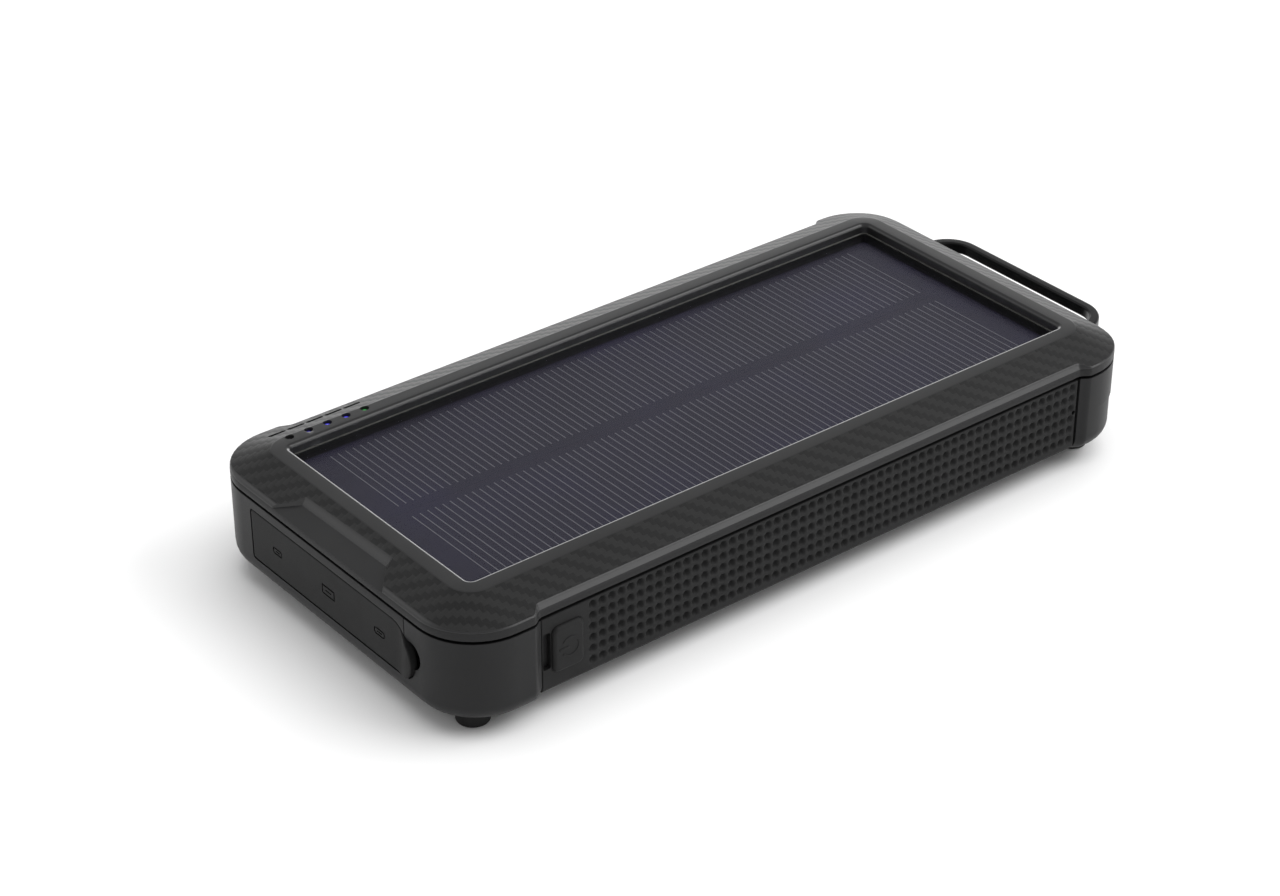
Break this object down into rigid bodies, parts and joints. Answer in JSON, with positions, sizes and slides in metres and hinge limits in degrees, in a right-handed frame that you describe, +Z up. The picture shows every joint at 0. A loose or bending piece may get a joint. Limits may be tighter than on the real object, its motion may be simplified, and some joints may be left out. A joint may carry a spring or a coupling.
{
  "type": "solar power bank",
  "caption": "Rectangular battery charger with a solar panel on top, rubber side grips, push button, flap over the sockets and folding carry bail.",
  "frame": {"origin": "centre of the case's flat underside, between the feet", "axes": "+Z up through the solar panel, +X along the case towards the carry bail, -Y out through the power button's side"},
  "size_m": [0.1709, 0.0778, 0.0252],
  "materials": {
    "shell_plastic": "fine-grained satin black moulding",
    "carbon_plastic": "black moulding with a twill weave in relief",
    "bail_plastic": "satin black",
    "rubber": "matt black",
    "clear_sheet": "clear, slightly satin",
    "solar_cell": "dark violet grey with fine silver fingers",
    "circuit_board": "green solder mask",
    "steel": "nickel plated",
    "contact_plastic": "black",
    "light_pipe": "clear, lit from below",
    "chip": "black epoxy",
    "pouch": "silver laminate",
    "tape": "off-white adhesive foam",
    "lead_red": "red insulation",
    "lead_black": "black insulation",
    "seal": "matt black silicone"
  },
  "bodies": {
    "case": {"main_shell": "shell_plastic", "top_cover": "carbon_plastic", "case_seal": "seal", "side_grip_button_side": "rubber", "side_grip_plain_side": "rubber", "solar_window": "clear_sheet", "solar_cell_row_1": "solar_cell", "solar_cell_row_2": "solar_cell", "solar_backing_board": "circuit_board", "panel_tape": "tape", "main_circuit_board": "circuit_board", "board_screw_1": "steel", "board_screw_2": "steel", "charge_controller": "chip", "battery_protection_chip": "chip", "boost_inductor": "chip", "filter_capacitor_1": "pouch", "filter_capacitor_2": "pouch", "tactile_switch": "chip", "battery_cell_lower": "pouch", "battery_cell_upper": "pouch", "battery_tape": "tape", "battery_lead_positive": "lead_red", "battery_lead_negative": "lead_black", "solar_lead_positive": "lead_red", "solar_lead_negative": "lead_black", "flap_anchor": "rubber", "bail_pin_left": "steel", "bail_pin_right": "steel", "usb_a_shell": "steel", "usb_a_contact_block": "contact_plastic", "micro_usb_shell": "steel", "micro_usb_contact_block": "contact_plastic", "usb_c_shell": "steel", "usb_c_contact_block": "contact_plastic", "foot_1": "rubber", "case_screw_1": "steel", "foot_2": "rubber", "case_screw_2": "steel", "foot_3": "rubber", "case_screw_3": "steel", "foot_4": "rubber", "case_screw_4": "steel", "indicator_led_1": "light_pipe", "light_pipe_1": "light_pipe", "indicator_led_2": "light_pipe", "light_pipe_2": "light_pipe", "indicator_led_3": "light_pipe", "light_pipe_3": "light_pipe", "indicator_led_4": "light_pipe", "light_pipe_4": "light_pipe", "indicator_led_5": "light_pipe", "light_pipe_5": "light_pipe"},
    "flap": {"port_flap": "rubber"},
    "button": {"power_button": "rubber"},
    "plunger": {"switch_plunger": "contact_plastic"},
    "bail": {"bail_handle": "bail_plastic"}
  },
  "joints": [
    {"name": "flap_hinge", "type": "hinge", "parent": "case", "child": "flap", "pos_m": [-0.08, 0.0242, 0.00935], "axis": [0, 0, -1], "range_deg": [0, 110]},
    {"name": "button_press", "type": "slide", "parent": "case", "child": "button", "axis": [0, 1, 0], "range_m": [0, 0.0004], "stiffness_N_per_m": 2500},
    {"name": "plunger_press", "type": "slide", "parent": "case", "child": "plunger", "axis": [0, 1, 0], "range_m": [0, 0.0005]},
    {"name": "bail_hinge", "type": "hinge", "parent": "case", "child": "bail", "pos_m": [0.0824, 0, 0.0138], "axis": [0, -1, 0], "range_deg": [-90, 90]}
  ],
  "couplings": [
    {"joint": "plunger_press", "follows": "button_press", "ratio": 1}
  ]
}
